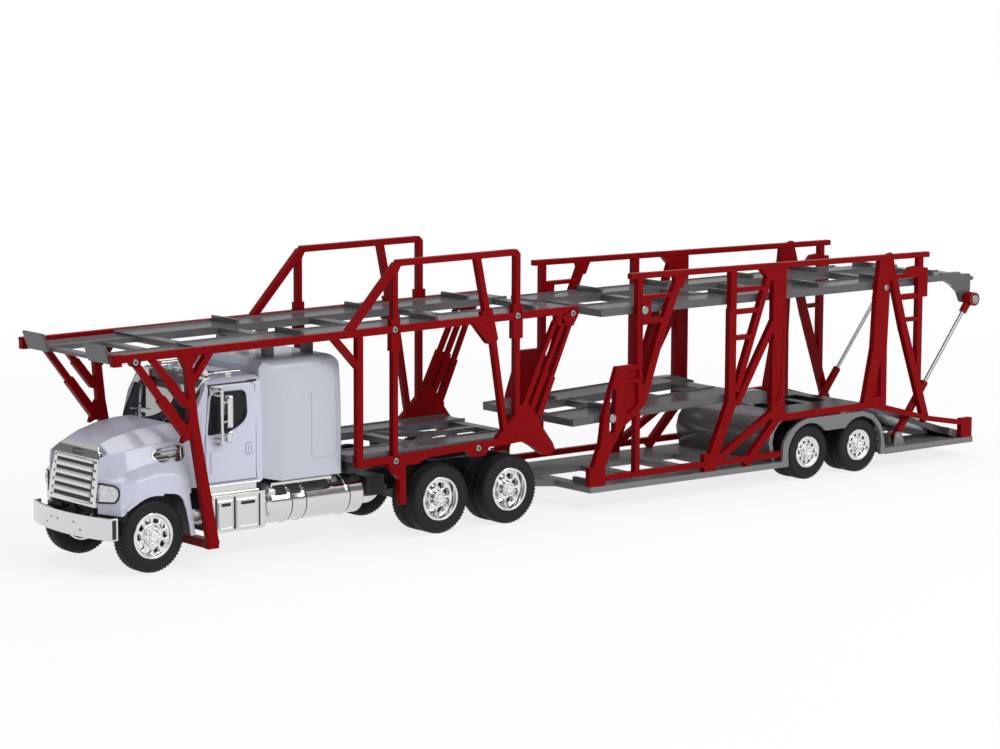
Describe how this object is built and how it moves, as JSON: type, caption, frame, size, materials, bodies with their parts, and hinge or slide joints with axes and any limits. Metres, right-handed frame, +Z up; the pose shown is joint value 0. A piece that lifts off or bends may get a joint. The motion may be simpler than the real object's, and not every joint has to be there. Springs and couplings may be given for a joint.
{
  "type": "toy car transporter truck with trailer",
  "caption": "Toy car transporter: bonneted sleeper-cab truck with an overhead car rack, hinged to a low trailer with a tilting upper deck held by lift cylinders.",
  "frame": {"origin": "on the ground under the middle of the whole toy, truck and trailer in line", "axes": "-X is forward, towards the truck's bumper; +X runs to the trailer's tail; -Y is the truck's left-hand side; +Z is up"},
  "size_m": [0.5504, 0.0776, 0.1308],
  "materials": {
    "black_tyre": "matt moulded rubber",
    "chrome": "bright plating",
    "chassis_black": "satin moulded plastic",
    "cab_white": "glossy white paint",
    "sleeper_white": "glossy white moulded plastic",
    "lamp_clear": "bright lens over reflector",
    "dark_glass": "dark tinted clear plastic",
    "frame_red": "semi-gloss red moulded plastic",
    "deck_grey": "satin grey moulded plastic",
    "floor_grey": "satin light grey moulded plastic",
    "dark_grey": "satin dark grey moulded plastic",
    "bright_steel": "bright drawn rod"
  },
  "bodies": {
    "tractor": {"chassis_frame": "chassis_black", "axle_beams": "chassis_black", "bonnet": "cab_white", "grille": "chrome", "headlamps": "lamp_clear", "bumper": "chrome", "cab_shell": "cab_white", "cab_glass": "dark_glass", "cab_interior": "chassis_black", "sun_visor": "chrome", "sleeper_box": "sleeper_white", "mirrors": "chrome", "step_boxes": "chrome", "fuel_tanks": "chrome", "rack_upper_rails": "frame_red", "rack_legs": "frame_red", "rack_hoops": "frame_red", "rack_lower_rails": "frame_red", "rack_struts": "frame_red", "truck_upper_deck": "deck_grey", "truck_lower_deck": "deck_grey", "roof_horns": "chrome", "bonnet_vents": "chrome"},
    "front_axle": {"front_tyres": "black_tyre", "front_wheelset": "chrome"},
    "drive_axle_1": {"drive_1_tyres": "black_tyre", "drive_1_wheelset": "chrome"},
    "drive_axle_2": {"drive_2_tyres": "black_tyre", "drive_2_wheelset": "chrome"},
    "trailer": {"trailer_top_rails": "frame_red", "trailer_front_frames": "frame_red", "trailer_middle_frames": "frame_red", "trailer_lower_rails": "frame_red", "trailer_rear_frames": "frame_red", "trailer_floor": "floor_grey", "bogie_deck": "dark_grey", "rear_ramp": "dark_grey", "front_hump": "dark_grey", "trailer_axle_beams": "chassis_black"},
    "trailer_axle_1": {"trailer_1_tyres": "black_tyre", "trailer_1_wheelset": "chrome"},
    "trailer_axle_2": {"trailer_2_tyres": "black_tyre", "trailer_2_wheelset": "chrome"},
    "upper_deck": {"upper_deck": "deck_grey"},
    "mid_deck": {"mid_deck": "deck_grey"},
    "lift_barrel_left": {"lift_barrel_left": "frame_red"},
    "lift_rod_left": {"lift_rod_left": "bright_steel"},
    "lift_barrel_right": {"lift_barrel_right": "frame_red"},
    "lift_rod_right": {"lift_rod_right": "bright_steel"}
  },
  "joints": [
    {"name": "front_axle_spin", "type": "hinge", "parent": "tractor", "child": "front_axle", "pos_m": [-0.24825, 0, 0.0165], "axis": [0, 1, 0], "continuous": true},
    {"name": "drive_axle_1_spin", "type": "hinge", "parent": "tractor", "child": "drive_axle_1", "pos_m": [-0.09175, 0, 0.0165], "axis": [0, 1, 0], "continuous": true},
    {"name": "drive_axle_2_spin", "type": "hinge", "parent": "tractor", "child": "drive_axle_2", "pos_m": [-0.05005, 0, 0.0165], "axis": [0, 1, 0], "continuous": true},
    {"name": "trailer_yaw", "type": "hinge", "parent": "tractor", "child": "trailer", "pos_m": [-0.02625, 0, 0.01], "axis": [0, 0, 1], "range_deg": [-20, 20]},
    {"name": "trailer_axle_1_spin", "type": "hinge", "parent": "trailer", "child": "trailer_axle_1", "pos_m": [0.14765, 0, 0.0141], "axis": [0, 1, 0], "continuous": true},
    {"name": "trailer_axle_2_spin", "type": "hinge", "parent": "trailer", "child": "trailer_axle_2", "pos_m": [0.18425, 0, 0.0141], "axis": [0, 1, 0], "continuous": true},
    {"name": "upper_deck_tilt", "type": "hinge", "parent": "trailer", "child": "upper_deck", "pos_m": [0.03395, 0, 0.0958], "axis": [0, 1, 0], "range_deg": [0, 8.5]},
    {"name": "mid_deck_tilt", "type": "hinge", "parent": "trailer", "child": "mid_deck", "pos_m": [0.12455, 0, 0.0438], "axis": [0, 1, 0], "range_deg": [-2.4, 6]},
    {"name": "lift_barrel_left_swing", "type": "hinge", "parent": "trailer", "child": "lift_barrel_left", "pos_m": [0.21555, -0.0324, 0.0152], "axis": [0, 1, 0], "range_deg": [0, 18.1]},
    {"name": "lift_rod_left_slide", "type": "slide", "parent": "lift_barrel_left", "child": "lift_rod_left", "axis": [0.6216, 0, 0.7833], "range_m": [-0.02761, 0]},
    {"name": "lift_barrel_right_swing", "type": "hinge", "parent": "trailer", "child": "lift_barrel_right", "pos_m": [0.21555, 0.0324, 0.0152], "axis": [0, 1, 0], "range_deg": [0, 18.1]},
    {"name": "lift_rod_right_slide", "type": "slide", "parent": "lift_barrel_right", "child": "lift_rod_right", "axis": [0.6216, 0, 0.7833], "range_m": [-0.02761, 0]}
  ],
  "couplings": [
    {"joint": "lift_barrel_left_swing", "follows": "upper_deck_tilt", "ratio": 1.9532},
    {"joint": "lift_rod_left_slide", "follows": "upper_deck_tilt", "m_per_rad": -0.18473},
    {"joint": "lift_barrel_right_swing", "follows": "upper_deck_tilt", "ratio": 1.9532},
    {"joint": "lift_rod_right_slide", "follows": "upper_deck_tilt", "m_per_rad": -0.18473}
  ]
}
